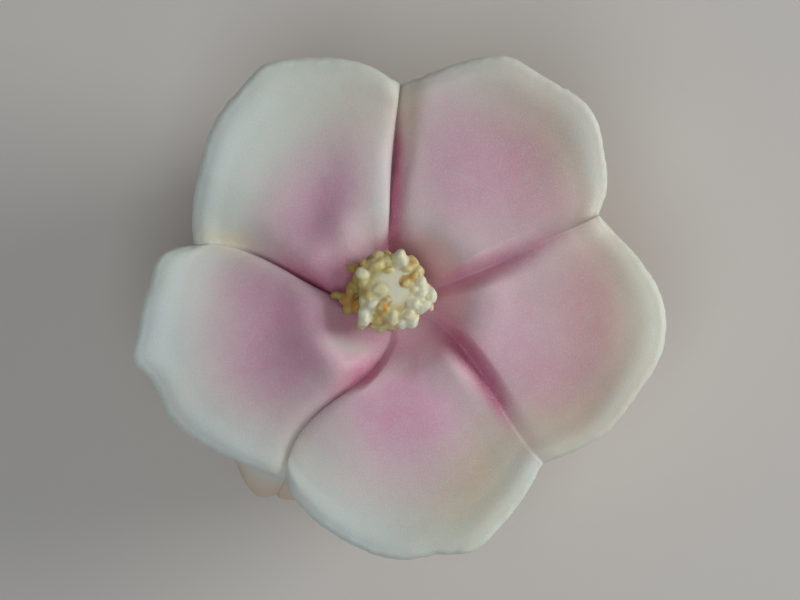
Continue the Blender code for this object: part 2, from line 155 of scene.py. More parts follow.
# Where the pink was rubbed in: place from the heart, long and short spread, turn of the long way, strength, and
# how warm the pink is, from rose to peach.
BLUSHES = (
    ("heart", 0.0, 0.0, 7.6, 7.6, 0.0, 0.30, 1.0),
    ("upper left", -8.4, 9.8, 7.2, 5.4, 62.0, 0.54, 0.1),
    ("upper left, middle", -7.2, 9.8, 3.8, 2.6, 60.0, 0.44, 0.0),
    ("upper left, low", -8.8, 6.0, 4.8, 2.6, 155.0, 0.34, 0.5),
    ("upper left, high", -4.4, 15.0, 6.8, 4.0, 80.0, 0.24, 0.1),
    ("upper left, by the left groove", -5.4, 3.0, 4.0, 1.9, 158.0, 0.76, 0.35),
    ("upper right", 8.6, 13.2, 9.4, 8.8, 20.0, 0.50, 0.15),
    ("upper right, middle", 8.8, 13.4, 7.0, 5.0, 10.0, 0.38, 0.1),
    ("upper right, high", 4.8, 18.4, 3.6, 4.4, 0.0, 0.24, 0.1),
    ("upper right, outer", 13.0, 13.6, 5.0, 3.4, 130.0, 0.20, 0.9),
    ("upper right, by the groove", 15.6, 9.6, 4.0, 2.2, 25.0, 0.34, 0.5),
    ("right", 14.0, -2.0, 10.0, 8.0, 115.0, 0.58, 0.2),
    ("right, towards the heart", 11.0, -4.2, 4.6, 5.0, 0.0, 0.24, 0.0),
    ("right, outer", 19.8, 0.6, 6.6, 3.2, 96.0, 0.50, 0.8),
    ("right, low", 15.6, -7.6, 4.6, 3.2, 15.0, 0.40, 0.6),
    ("lower", 1.2, -11.8, 8.4, 7.2, 0.0, 0.53, 0.1),
    ("lower, middle", 1.2, -10.6, 5.4, 4.2, 0.0, 0.54, 0.0),
    ("lower, outer", 0.0, -18.4, 9.0, 3.4, 0.0, 0.14, 0.8),
    ("lower, by the right groove", 12.6, -13.0, 4.0, 1.4, 133.0, 0.20, 1.0),
    ("left", -12.0, -4.2, 9.2, 7.6, 160.0, 0.64, 0.2),
    ("left, middle", -10.8, -4.0, 5.4, 5.0, 90.0, 0.58, 0.15),
    ("left, by the upper groove", -13.2, 1.4, 5.6, 3.0, 155.0, 0.44, 0.15),
    ("left, low", -13.6, -12.0, 6.0, 3.4, 150.0, 0.16, 0.8),
)
# Where the pink is paler: the tongue between the heart and the lower left groove, and the lower petal's
# top.
PALES = (
    ("left petal's tongue", -4.2, -4.2, 3.2, 1.1, -14.0, 0.8),
    ("left petal's ridge", -8.0, -7.6, 3.6, 1.2, 46.0, 0.15),
    ("lower petal's top", -1.0, -6.6, 3.0, 1.1, 20.0, 0.5),
)
BLUSH_PLATEAU = 1.5          # how flat a blush is in its middle
HEART_RADIUS = 7.2 * MM      # where the pink round the heart is half gone
HEART_SOFTNESS = 3.0 * MM    # how far it fades to either side of that
HEART_PINK = 0.60            # its strength
PALE_HEART = 0.7             # how much of a pale place's strength the heart's pink loses there
TUCKED_PINK = 1.0 * MM       # how wide the pink of a groove is on the tucked petal
LIPPED_PINK = 0.85 * MM      # and on the lip
PINK_NARROWEST = 0.6         # both widths are times this far out, and times 1 more by the heart
LIP_CLEARS = 4.0 * MM        # a closed lip counts as this much further from the groove's pink
PINK_FADES_BEFORE = 2.0 * MM  # a groove's pink starts to fade this far before its reach,
PINK_FADES_OVER = 6.0 * MM   # over this way
CREASE_STRENGTH = 0.85
RIM_STRENGTH = 0.08
SIDE_PEACH_AND_SHADE = 0.36            # how peachy the ball's side is, partly its own colour and partly painted shade under the petals and how creamy, likewise partly painted shade
SIDE_CREAM_AND_SHADE = 0.9             # and how creamy

# Where the colour is yellower: the right petals' outer parts, and painted shade by three notches, where a lip
# shades the petal tucked under it. Place from the heart, long and short spread, turn of the long way, strength.
CREAMS_AND_NOTCH_SHADE = (
    ("upper right, outer", 15.6, 15.6, 8.0, 4.6, 130.0, 0.85),
    ("right, outer", 20.4, -1.6, 9.6, 4.6, 97.0, 0.9),
    ("right, low", 17.4, -10.6, 5.8, 3.8, 30.0, 0.9),
    ("lower, right side", 8.2, -16.6, 6.2, 3.6, 60.0, 0.9),
    ("upper left, by the notch", -2.0, 19.0, 5.0, 4.0, 0.0, 0.35),
    # Painted shade: by these notches a lip shades the petal tucked under it.
    ("upper left, by the left notch", -17.6, 6.7, 4.4, 1.3, 172.0, 0.8),
    ("upper right, by the top notch", 1.6, 19.4, 3.6, 1.3, 88.0, 0.7),
    ("left, by the lower notch", -11.2, -15.4, 3.4, 1.1, 56.0, 0.6),
)

# And where it is whiter: the left petals' outer parts, and painted light: a highlight along the upper left
# petal's lip, and thin edges at the right that glow where the light shines through.
WHITES_AND_HIGHLIGHTS = (
    ("left petal's edge", -24.4, -3.0, 10.0, 4.4, 85.0, 0.85),
    ("left petal, low", -17.4, -14.0, 8.0, 3.4, 150.0, 0.75),
    ("lower petal, low left", -5.6, -22.6, 8.0, 2.8, 155.0, 0.8),
    ("upper left petal's edge", -18.0, 15.0, 8.6, 3.4, 65.0, 0.7),
    # Painted light: a highlight on the rolled lip, and thin edges lit through.
    ("upper left petal's lip", -1.6, 13.0, 6.4, 0.9, 90.0, 0.3),
    ("lower petal's right corner", 13.6, -16.4, 2.4, 1.6, 45.0, 0.4),
    ("right petal's low edge", 22.0, -10.0, 6.0, 1.0, 58.0, 0.3),
    ("upper right petal's edge", 20.0, 14.0, 6.0, 1.6, 112.0, 0.4),
)
RIM_WIDTH = 0.9 * MM         # painted light: the thin pinched edge is whiter than the rest, where light shines through it

# The dough's relief, from its long swells to its fine grain, and what the pinched edge has besides: height and
# wavelength in millimetres, number of waves, and seed.
RELIEF = ((0.05, 9.0, 14, 3), (0.008, 2.4, 18, 4))
EDGE_RELIEF = ((0.03, 1.3, 24, 6), (0.015, 0.6, 24, 7))
EDGE_WIDTH = 0.8 * MM

# Colours as linear light.
WHITE = (0.750, 0.850, 0.845, 1.0)
IVORY = (0.770, 0.830, 0.750, 1.0)
CREAM = (0.790, 0.730, 0.510, 1.0)
ROSE = (0.800, 0.330, 0.550, 1.0)
PEACH = (0.820, 0.420, 0.430, 1.0)
DEEP_PINK = (0.660, 0.165, 0.320, 1.0)
# Painted glints: pale specks that stand in for the sparkle of sugar grains.
SUGAR_GLINT = (0.930, 0.900, 0.920, 1.0)


def curve_through(x, knots, values):
    """A smooth curve through a few points: cubic pieces whose slope at a point is that of its neighbours."""
    slopes = np.gradient(values, knots)
    i = np.clip(np.searchsorted(knots, x, side="right") - 1, 0, len(knots) - 2)
    span = knots[i + 1] - knots[i]
    u = np.clip((x - knots[i]) / span, 0.0, 1.0)
    start = values[i] * (1 + 2 * u) * (1 - u) ** 2 + slopes[i] * span * u * (1 - u) ** 2
    end = values[i + 1] * u * u * (3 - 2 * u) - slopes[i + 1] * span * u * u * (1 - u)
    return start + end


def ease(x):
    """Rises from 0 to 1 with no slope or bend at either end."""
    x = np.clip(x, 0.0, 1.0)
    return x ** 3 * (x * (6.0 * x - 15.0) + 10.0)


def ripples(points, wavelength, count, seed):
    """Even, aimless relief, mostly between -1 and 1: sine waves in random directions, added up and divided by the
    root of their number."""
    random = np.random.default_rng(seed)
    ways = random.normal(size=(count, 3))
    ways /= np.linalg.norm(ways, axis=1, keepdims=True)
    ways *= 2.0 * math.pi / (wavelength * random.uniform(0.7, 1.4, (count, 1)))
    phases = random.uniform(0.0, 2.0 * math.pi, count)
    return np.sin(points @ ways.T + phases).sum(axis=-1) / math.sqrt(count)


def soft_blot(x, y, row, plateau=1.0):
    """A patch that fades as the exponential of the squared distance, longer one way than the other. With a
    plateau above 1 it is flatter in its middle and fades faster past it."""
    name, bx, by, long, short, turn, strength = row[:7]
    c, s = math.cos(math.radians(turn)), math.sin(math.radians(turn))
    dx, dy = x / MM - bx, y / MM - by
    away = ((dx * c + dy * s) / long) ** 2 + ((dy * c - dx * s) / short) ** 2
    return strength * np.exp(-away ** plateau)


def section_rows(rings_above, rings_below):
    """The section's six values on every ring, by a smooth curve through its rows along their length."""
    rows = np.array(SECTION)
    steps = np.hypot(np.diff(rows[:, 0]), np.diff(rows[:, 1]))
    knots = np.concatenate(([0.0], np.cumsum(steps)))
    counts = [rings_above if row < EDGE_ROW else rings_below for row in range(len(rows) - 1)]
    places = [np.linspace(a, b, n, endpoint=False) for a, b, n in zip(knots, knots[1:], counts)]
    places = np.append(np.concatenate(places), knots[-1])
    values = np.stack([curve_through(places, knots, rows[:, k]) for k in range(rows.shape[1])])
    values[:5] *= MM
    flank = ease((places - knots[EDGE_ROW]) / (knots[FLANK_ROW] - knots[EDGE_ROW]))
    return values, flank


def groove_angle(groove, radius):
    """Where a groove runs at each radius: straight in from its notch, bending as it nears the heart."""
    way_in = 1.0 - np.clip(radius / (groove.notch_radius * MM), STRAIGHT_WITHIN, 1.0)
    return np.radians(groove.notch + groove.bend * way_in + groove.curl * way_in ** 2)


def edge_place(share, lip, closing, radius, width):
    """How far from the groove an edge column lies, as an angle: a closed lip bulges back over the crease, by
    its overhang where share * (1 - share) ** 2 is at its most, which is 4 / 27."""
    if not lip:
        return width * share
    steep = share * (1.0 - closing) + share ** 2 * closing
    bulge = 27.0 / 4.0 * share * (1.0 - share) ** 2 * OVERHANG * closing
    return width * steep - bulge / np.maximum(radius, HEART_WIDTH)


def edge_drop(share, lip, closing):
    """How far an edge column has sunk to the groove: a soft valley where it is open, and where it is closed a
    lip rolled as a quarter circle over a slope that falls as the cube."""
    rolled = 1.0 - np.sqrt(1.0 - (1.0 - share) ** 2) if lip else (1.0 - share) ** 3
    return (1.0 - share) ** 2 * (1.0 + 0.5 * share) * (1.0 - closing) + rolled * closing


def petal_grid(index, rings_above, rings_below, middle_columns, edge_columns):
    """One petal as a grid of points, ring by column, from one groove up to but not onto the next.

    Its columns lie closer together at the two grooves. From ring to ring they follow the way that each groove
    bends, and the edges roll down into it.

    Also how far each point is from the crease on a tucked side, on a lip (counted longer where that lip is
    closed) and from the rim, its share of the flank, and how pink the nearer groove is.
    """
    values, flank = section_rows(rings_above, rings_below)
    along, height, lift, sink, pinch, share = (v[:, None] for v in values)
    flank = flank[:, None]
    start, end = GROOVES[index], GROOVES[(index + 1) % len(GROOVES)]
    turn = 2.0 * math.pi if index == len(GROOVES) - 1 else 0.0
    start_lip, end_lip = start.side > 0, end.side < 0
    start_width = (start.lip if start_lip else start.tuck) * MM
    end_width = (end.lip if end_lip else end.tuck) * MM

    steps = np.arange(edge_columns) / edge_columns
    middle = np.linspace(0.0, 1.0, middle_columns)
    start_share = np.concatenate((steps, np.ones(middle_columns + edge_columns - 1)))[None, :]
    end_share = np.concatenate((np.ones(edge_columns + middle_columns), steps[:0:-1]))[None, :]
    across = np.concatenate((np.zeros(edge_columns), middle, np.ones(edge_columns - 1)))[None, :]

    # The outline's reach at each column, read at the angle where that column meets the petal's edge.
    angles, reaches = zip(*OUTLINES[index][1])
    angles = np.radians((start.notch,) + angles + (end.notch + math.degrees(turn),))
    reaches = np.array((start.notch_radius,) + reaches + (end.notch_radius,)) * MM

    def closing(groove, radius):
        return ease((radius / MM - groove.opened) / (groove.closed - groove.opened)) * (1.0 - flank)

    def column_angles(radius):
        inner = groove_angle(start, radius)
        outer = groove_angle(end, radius) + turn
        room = WIDEST_EDGE * (outer - inner)
        first = room * np.tanh(start_width / (radius + HEART_WIDTH) / room)
        last = room * np.tanh(end_width / (radius + HEART_WIDTH) / room)
        near = inner + edge_place(start_share, start_lip, closing(start, radius), radius, first)
        far = outer - edge_place(end_share, end_lip, closing(end, radius), radius, last)
        between = inner + first + across * (outer - last - inner - first)
        edge = np.where(start_share < 1.0, near, between)
        return np.where(end_share < 1.0, far, edge)

    edge_angle = column_angles(np.full_like(along, REACH - OUTLINE_INSET))[0]
    reach = curve_through(edge_angle, angles, reaches)[None, :]
    first, last = angles[0], angles[-1]
    side = 2.0 * (edge_angle - first) / (last - first) - 1.0
    ridge = np.where(side < 0.0, OVER_LIFT if start_lip else UNDER_LIFT, OVER_LIFT if end_lip else UNDER_LIFT)
    ridge = (ridge * np.abs(side) ** RIDGE_POWER)[None, :]
    past = (np.degrees(edge_angle) % 360.0) - SWELL_ANGLE
    swell = np.exp(-(past / np.where(past < 0.0, *SWELL_SPREADS)) ** 2)[None, :]

    body = flank * np.clip((along - BASE_RADIUS) / (REACH - BASE_RADIUS) * 2.0, 0.0, 1.0)
    start_drop = edge_drop(start_share, start_lip, closing(start, along))
    end_drop = edge_drop(end_share, end_lip, closing(end, along))
    drop = np.maximum(start_drop, end_drop)
    outward = ease((along - SINK_TURNS) / SINK_TURNS_OVER)
    starts = start_drop > end_drop
    depth = np.where(starts, start.sink_in, end.sink_in) * (1.0 - outward)
    depth = depth + np.where(starts, start.sink_out, end.sink_out) * outward
    radius = along + share * (reach - REACH) - pinch * drop * (1.0 - swell) + SWELL * swell * body
    theta = column_angles(radius)
    x, y = radius * np.cos(theta), radius * np.sin(theta)
    z = height + lift * ridge - sink * depth * drop + TIP_LIFT * share ** 2 * (reach - REACH)
    for hollow in HOLLOWS:
        z = z - soft_blot(x, y, hollow) * MM * (1.0 - flank) * (1.0 - drop)

    far_off = 1.0  # a metre, which no pink reaches
    start_away = np.abs(theta - groove_angle(start, radius)) * radius
    end_away = np.abs(groove_angle(end, radius) + turn - theta) * radius
    tucked = np.minimum(np.where(start_lip, far_off, start_away), np.where(end_lip, far_off, end_away))
    start_lipped = start_away + LIP_CLEARS * closing(start, radius)
    end_lipped = end_away + LIP_CLEARS * closing(end, radius)
    lipped = np.minimum(np.where(start_lip, start_lipped, far_off), np.where(end_lip, end_lipped, far_off))
    inset = np.abs(reach - radius)
    low = np.broadcast_to(flank, x.shape)
    starts = start_away < end_away
    pink_from = np.where(starts, start.pink_reach, end.pink_reach) * MM - PINK_FADES_BEFORE
    pink = np.where(starts, start.pink, end.pink) * (1.0 - ease((radius - pink_from) / PINK_FADES_OVER))
    return np.stack((x, y, z, tucked, lipped, inset, low, pink), axis=-1)


def flower_points(rings_above, rings_below, middle_columns, edge_columns, base_rings):
    """The whole skin, ring by column, from the floor of the heart to the base, about the heart's axis."""
    layout = (rings_above, rings_below, middle_columns, edge_columns)
    petals = [petal_grid(i, *layout) for i in range(len(GROOVES))]
    skin = np.concatenate(petals, axis=1)
    foot = skin[-1]
    base = np.stack([foot * (scale, scale, 0.0, 1.0, 1.0, 1.0, 1.0, 1.0) for scale in base_rings])
    return np.concatenate((skin[1:], base))


def box_middle(points):
    """The middle of the box round the flower, seen from above, which is the part's origin."""
    flat = points[..., :2].reshape(-1, 2)
    return (flat.min(axis=0) + flat.max(axis=0)) / 2.0


def grid_normals(points):
    """Outward normals of a ring-by-column grid that closes on itself, from the cross of its two directions."""
    down = np.gradient(points, axis=0)
    round_ = np.roll(points, -1, axis=1) - np.roll(points, 1, axis=1)
    normals = np.cross(down, round_)
    return normals / np.maximum(np.linalg.norm(normals, axis=-1, keepdims=True), 1e-12)


def skin_mesh(name, rings, top, bottom):
    """A closed mesh over rings of points, facing out, with one point at each pole."""
    count, columns = rings.shape[:2]
    points = np.vstack((rings.reshape(-1, 3), top, bottom))
    here = np.arange(columns)
    after = (here + 1) % columns
    row = (np.arange(count - 1) * columns)[:, None]
    quads = np.stack((row + here, row + columns + here, row + columns + after, row + after), axis=-1)
    last = (count - 1) * columns
    crown = np.stack((np.full(columns, count * columns), here, after), axis=-1)
    foot = np.stack((np.full(columns, count * columns + 1), last + after, last + here), axis=-1)
    mesh = bpy.data.meshes.new(name)
    mesh.from_pydata(points.tolist(), [], quads.reshape(-1, 4).tolist() + crown.tolist() + foot.tolist())
    mesh.shade_smooth()
    return mesh


def put_attribute(mesh, name, values):
    """Keeps one number for each vertex, which the material reads by name."""
    attribute = mesh.attributes.new(name, "FLOAT", "POINT")
    attribute.data.foreach_set("value", np.ascontiguousarray(values, dtype=np.float32))


def tints(x, y, tucked, lipped, inset, low, pink):
    """How far each colour is rubbed in: rose, peach, the creases' deep pink, the cream and the white rim. Part of
    the cream and peach is painted shade, and part of the white painted light.

    Patches of one colour add up as one minus the product of what each leaves bare. A crease's pink falls as the
    exponential of the squared distance from it, and is wider by the heart.
    """
    rose, peach, cream, white = (np.ones_like(x) for _ in range(4))
    for row in BLUSHES:
        blot = soft_blot(x, y, row, BLUSH_PLATEAU)
        rose = rose * (1.0 - blot * (1.0 - row[7]))
        peach = peach * (1.0 - blot * row[7])
    for row in PALES:
        rubbed = 1.0 - soft_blot(x, y, row)
        rose, peach = 1.0 - (1.0 - rose) * rubbed, 1.0 - (1.0 - peach) * rubbed
    for row in CREAMS_AND_NOTCH_SHADE:
        cream = cream * (1.0 - soft_blot(x, y, row))
    for row in WHITES_AND_HIGHLIGHTS:
        white = white * (1.0 - soft_blot(x, y, row))
    radius = np.hypot(x, y)
    # Painted light: the thin edge is whiter where light shines through it.
    rim = RIM_STRENGTH * np.exp(-(inset / RIM_WIDTH) ** 2) * ease((radius - 12.0 * MM) / (6.0 * MM))
    heart = HEART_PINK * (1.0 - ease((radius - HEART_RADIUS + HEART_SOFTNESS) / (2.0 * HEART_SOFTNESS)))
    for row in PALES:
        heart = heart * (1.0 - PALE_HEART * soft_blot(x, y, row))
    wide = PINK_NARROWEST + 1.0 - ease((radius - 10.0 * MM) / (12.0 * MM))
    crease = np.exp(-(tucked / (TUCKED_PINK * wide)) ** 2) + np.exp(-(lipped / (LIPPED_PINK * wide)) ** 2)
    crease = CREASE_STRENGTH * np.clip(pink * crease, 0.0, 1.0) * ease((radius - 2.0 * MM) / (6.0 * MM))
    rose = 1.0 - rose * (1.0 - heart)
    top = 1.0 - low
    # The ball's side gets peach and cream, partly its own colour and partly painted shade under the petals.
    return {"rose": rose * top, "peach": (1.0 - peach) * top + SIDE_PEACH_AND_SHADE * low, "crease": crease * top,
            "cream": (1.0 - cream) * top + SIDE_CREAM_AND_SHADE * low, "rim": (1.0 - white * (1.0 - rim)) * top}


def shader_of(name):
    """A new material, with its node tree and its Principled shader."""
    made = bpy.data.materials.new(name)
    made.use_nodes = True
    return made, made.node_tree, made.node_tree.nodes["Principled BSDF"]


def link_noise(tree, coordinates, scale, detail, roughness=0.5):
    """A noise texture on the piece's own coordinates."""
    noise = tree.nodes.new("ShaderNodeTexNoise")
    noise.inputs["Scale"].default_value = scale
    noise.inputs["Detail"].default_value = detail
    noise.inputs["Roughness"].default_value = roughness
    tree.links.new(coordinates, noise.inputs["Vector"])
    return noise.outputs["Fac"]


def mix_colours(tree, factor, first, second):
    """A colour mix; each side is a plain colour or another node's output."""
    mix = tree.nodes.new("ShaderNodeMix")
    mix.data_type = "RGBA"
    tree.links.new(factor, mix.inputs["Factor"])
    for socket, side in (("A", first), ("B", second)):
        place = [s for s in mix.inputs if s.name == socket and s.type == "RGBA"][0]
        if isinstance(side, tuple):
            place.default_value = side
        else:
            tree.links.new(side, place)
    return [s for s in mix.outputs if s.type == "RGBA"][0]


def math_node(tree, operation, *sides):
    """One sum on numbers or other nodes' outputs."""
    node = tree.nodes.new("ShaderNodeMath")
    node.operation = operation
    for place, side in zip(node.inputs, sides):
        if isinstance(side, (int, float)):
            place.default_value = side
        else:
            tree.links.new(side, place)
    return node.outputs[0]


def painted(tree, name):
    """What an attribute of the mesh says at each point."""
    attribute = tree.nodes.new("ShaderNodeAttribute")
    attribute.attribute_name = name
    return attribute.outputs["Fac"]


def patches(tree, noise, low, high, most):
    """Nothing where a noise is below its low mark, rising evenly to the most at its high mark."""
    spread = tree.nodes.new("ShaderNodeMapRange")
    tree.links.new(noise, spread.inputs["Value"])
    spread.inputs["From Min"].default_value = low
    spread.inputs["From Max"].default_value = high
    spread.inputs["To Max"].default_value = most
    return spread.outputs["Result"]


def finish_paste(tree, shader, where, colour, roughness, specular, bleed, depth, grain_scale, strength, height):
    """The finish of soft paste: matt, a little light let through, and a fine bumpy grain."""
    tree.links.new(colour, shader.inputs["Base Color"])
    shader.inputs["Roughness"].default_value = roughness
    shader.inputs["Specular IOR Level"].default_value = specular
    shader.inputs["Subsurface Weight"].default_value = 0.5
    shader.inputs["Subsurface Radius"].default_value = bleed
    shader.inputs["Subsurface Scale"].default_value = depth
    bump = tree.nodes.new("ShaderNodeBump")
    bump.inputs["Strength"].default_value = strength
    bump.inputs["Distance"].default_value = height
    tree.links.new(link_noise(tree, where, grain_scale, 2.0, 0.6), bump.inputs["Height"])
    tree.links.new(bump.outputs["Normal"], shader.inputs["Normal"])


def dough_material():
    """Soft matt bean paste: ivory, creamy in places and white at the rim, rubbed with pink, with a floury grain
    and a fine sparkle of sugar painted as pale specks. Part of the cream is painted shade, and part of the
    white painted light."""
    made, tree, shader = shader_of("dough")
    where = tree.nodes.new("ShaderNodeTexCoord").outputs["Object"]
    uneven = math_node(tree, "MULTIPLY_ADD", link_noise(tree, where, 700.0, 4.0, 0.6), 0.5, 0.75)
    colour = IVORY
    rubbed_in = (("cream", CREAM), ("peach", PEACH), ("rose", ROSE), ("rim", WHITE), ("crease", DEEP_PINK))
    for name, tint in rubbed_in:
        colour = mix_colours(tree, math_node(tree, "MULTIPLY", painted(tree, name), uneven), colour, tint)
    # Painted glints: pale specks for the sparkle of sugar.
    sparkle = patches(tree, link_noise(tree, where, 6500.0, 1.0), 0.48, 0.80, 0.32)
    colour = mix_colours(tree, sparkle, colour, SUGAR_GLINT)
    finish_paste(tree, shader, where, colour, roughness=0.48, specular=0.45, bleed=(1.0, 0.5, 0.4),
                 depth=1.6 * MM, grain_scale=7600.0, strength=0.6, height=0.07 * MM)
    return made


def relief_of(points, rows):
    """The sum of ripples, each row a height and wavelength in millimetres, a number of waves and a seed."""
    return sum(height * ripples(points, length * MM, count, seed) for height, length, count, seed in rows)


def make_flower():
    """The dough's skin: the solid's own form laid out finely, moved along its normals by a low relief that is
    livelier at the pinched edge and fades at the base."""
    grid = flower_points(*SKIN_LAYOUT, BASE_RINGS)
    centre = box_middle(flower_points(*SOLID_LAYOUT, BASE_RINGS))
    points = grid[..., :3]
    tinted = tints(points[..., 0], points[..., 1], *(grid[..., k] for k in range(3, 8)))

    normals = grid_normals(points)
    radius = np.hypot(points[..., 0], points[..., 1])
    edge = np.exp(-(grid[..., 5] / EDGE_WIDTH) ** 2) * ease((radius - 20.0 * MM) / (3.0 * MM))
    relief = relief_of(points, RELIEF) + edge * relief_of(points, EDGE_RELIEF)
    standing = ease(points[..., 2] / (1.5 * MM))
    points = points + normals * (relief * MM * standing)[..., None]
    shift = np.array((centre[0], centre[1], 0.0))
    mesh = skin_mesh("flower_dough", points - shift, (-shift[0], -shift[1], SECTION[0][1] * MM),
                     (-shift[0], -shift[1], 0.0))
    for name, values in tinted.items():
        put_attribute(mesh, name, np.append(values.ravel(), (values[0].mean(), values[-1].mean())))
    flower = bpy.data.objects.new("flower_dough", mesh)
    bpy.context.scene.collection.objects.link(flower)
    mesh.materials.append(dough_material())
    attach(flower, "root")
    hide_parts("flower")
    return centre


# The stamens, about their own middle.
STAMENS_AT = (-0.45 * MM, 1.45 * MM)
STAMENS_FOOT = 21.65 * MM
STAMENS_TOP = 27.2 * MM
CAP_AT = (0.25 * MM, 0.45 * MM)     # the middle of the smooth patch on top
VOXEL = 0.1 * MM             # how finely the crumbs are melted into one skin
MELT_STEPS = 5               # how many times that skin is eased

# The crumbs that show from above: place, height of the middle, half width and half length, turn of the long
# way, how yellow and how brown. Millimetres and degrees, about the stamens' middle. The crumbs low on the
# left have more yellow and brown, partly their own colour and partly painted shade.
CRUMBS = (
    (1.08, 3.24, 26.6, 0.58, 0.88, 100, 0.3, 0.0), (-1.15, 3.48, 26.3, 0.48, 0.54, 0, 0.8, 0.1),
    (-0.87, 3.00, 26.7, 0.34, 0.38, 40, 0.9, 0.1), (-1.67, 2.84, 26.4, 0.48, 0.54, 30, 0.9, 0.15),
    (-2.46, 2.60, 26.1, 0.46, 0.54, 150, 1.0, 0.35), (-1.35, 2.44, 26.8, 0.50, 0.62, 20, 0.9, 0.1),
    (-0.23, 3.08, 26.5, 0.46, 0.52, 120, 0.9, 0.2), (0.33, 3.24, 26.3, 0.40, 0.46, 80, 0.8, 0.3),
    (-3.66, 2.28, 24.9, 0.42, 0.68, 160, 1.0, 0.5), (-2.82, 1.80, 26.65, 0.52, 0.60, 165, 0.4, 0.0),
    (-2.62, 0.85, 26.5, 0.52, 0.62, 30, 0.9, 0.25), (-1.03, 0.13, 26.85, 0.60, 0.78, 170, 0.6, 0.0),
    (-1.90, 0.45, 26.75, 0.50, 0.60, 70, 0.8, 0.1), (-2.20, -0.35, 26.7, 0.50, 0.58, 120, 1.0, 0.45),
    (-2.70, -1.00, 26.4, 0.40, 0.56, 95, 0.5, 0.1), (-1.75, -1.23, 26.9, 0.42, 0.64, 30, 0.2, 0.0),
    (-0.80, -1.62, 26.9, 0.48, 0.70, 160, 0.8, 1.3), (-0.31, -0.90, 26.95, 0.34, 0.42, 40, 0.6, 0.7),
    (-2.58, -2.50, 26.4, 0.60, 0.96, 86, 0.1, 0.0), (-3.00, -3.50, 25.9, 0.38, 0.44, 0, 0.3, 0.0),
    (-3.26, -1.47, 25.3, 0.50, 0.62, 80, 0.9, 1.4), (-4.30, -0.80, 24.1, 0.62, 0.80, 160, 0.9, 0.5),
    (-5.35, -0.40, 23.9, 0.34, 0.76, 172, 0.9, 0.1), (-4.20, -1.70, 23.9, 0.56, 0.66, 60, 0.9, 0.9),
    (-4.00, 0.00, 24.7, 0.44, 0.60, 80, 0.9, 0.6), (-3.75, 0.65, 25.1, 0.40, 0.46, 0, 0.9, 0.5),
    (-1.25, -2.75, 26.1, 0.56, 0.74, 170, 0.9, 0.4), (-0.55, -2.35, 26.5, 0.44, 0.56, 110, 0.9, 0.3),
    (0.29, -2.58, 26.65, 0.44, 0.76, 85, 0.5, 0.1), (1.20, -3.20, 26.2, 0.46, 0.54, 100, 0.1, 0.0),
    (1.84, -2.34, 26.6, 0.46, 0.54, 60, 0.3, 0.05), (2.24, -3.00, 26.2, 0.54, 0.68, 60, 0.1, 0.0),
    (-0.70, -3.55, 25.7, 0.30, 0.44, 0, 0.6, 0.1), (0.20, -3.50, 25.7, 0.32, 0.44, 0, 0.6, 0.1),
    (-1.65, -3.50, 25.6, 0.32, 0.44, 0, 0.8, 0.3), (2.32, -1.23, 26.8, 0.50, 0.60, 150, 0.2, 0.0),
    (3.26, -1.52, 26.3, 0.60, 0.68, 40, 0.1, 0.0), (2.60, -1.90, 26.1, 0.42, 0.48, 0, 0.8, 0.9),
    (4.00, -1.50, 25.6, 0.28, 0.46, 100, 0.3, 0.1), (4.12, -0.40, 26.1, 0.45, 0.66, 98, 0.1, 0.0),
    (3.66, 0.37, 26.0, 0.32, 0.36, 0, 0.4, 0.3), (3.10, 0.86, 26.5, 0.50, 0.66, 105, 0.1, 0.0),
    (3.10, -0.22, 26.6, 0.48, 0.54, 10, 0.0, 0.0), (2.80, 1.96, 26.4, 0.42, 0.52, 60, 0.7, 0.2),
    (2.16, 2.40, 26.4, 0.42, 0.48, 20, 0.8, 0.2), (2.24, 2.98, 26.2, 0.40, 0.64, 140, 0.9, 1.2),
    (1.56, 0.94, 26.85, 0.40, 0.60, 60, 0.9, 1.2), (2.18, 1.34, 26.75, 0.40, 0.48, 40, 0.7, 0.6),
    (1.65, 2.25, 26.7, 0.36, 0.52, 170, 0.7, 0.15), (-0.20, 2.10, 27.0, 0.24, 0.40, 10, 0.9, 0.2),
    (2.35, 0.10, 26.6, 0.44, 0.50, 0, 0.4, 0.1), (-3.35, 1.20, 25.6, 0.40, 0.48, 90, 1.0, 0.5),
)
# The rows of crumbs down the column, as height, radius and number, and the least and greatest half width there.
LOWER_ROWS = ((25.3, 3.2, 14), (24.4, 3.2, 14), (23.5, 3.0, 13), (22.6, 2.8, 12))
LOWER_SIZES = (0.40, 0.62)
CRUMB_SEED = 11
CRUMB_SWELL = 1.17           # how much the wet paste rounds each crumb out
CRUMB_BLUNT = 0.95           # below 1 a crumb is squarer than a ball
CRUMB_RELIEF = ((0.10, 1.1, 16, 31), (0.05, 0.5, 20, 32))
TINT_REACH = 6.0             # how fast a crumb's tints fade with the square of the distance in half sizes,
OWN_REACH = 1.5              # and how many half sizes off the column's own tints weigh as much
# The column under the crumbs, as radius and height from its top, in millimetres.
COLUMN = ((0.6, 0.0), (1.2, -0.03), (1.7, -0.08), (2.2, -0.18), (2.8, -0.5), (3.2, -1.1), (3.3, -2.2),
          (3.2, -3.4), (3.0, -4.6), (2.8, -5.45), (2.2, -5.5), (0.8, -5.5))
PATCH_RADIUS = 1.2 * MM      # the smooth patch on top is paler out to here,
PATCH_FADE = 1.4 * MM        # and over this way round it
CRUMB_SHADE_LEVEL = 26.4 * MM      # below this level the crumbs are painted with shade, deeper in colour and ochre, deepest this far down, most ochre this far down, or further up the more they lie to the left
SUNK_SHADE_DEPTH = 3.0 * MM        # deepest this far down,
OCHRE_SHADE_DEPTH = 2.4 * MM       # driest this far down, or further up the more they lie to the left
CREAM_WHITE = (0.910, 0.900, 0.720, 1.0)
CRUMB_YELLOW = (0.720, 0.630, 0.250, 1.0)
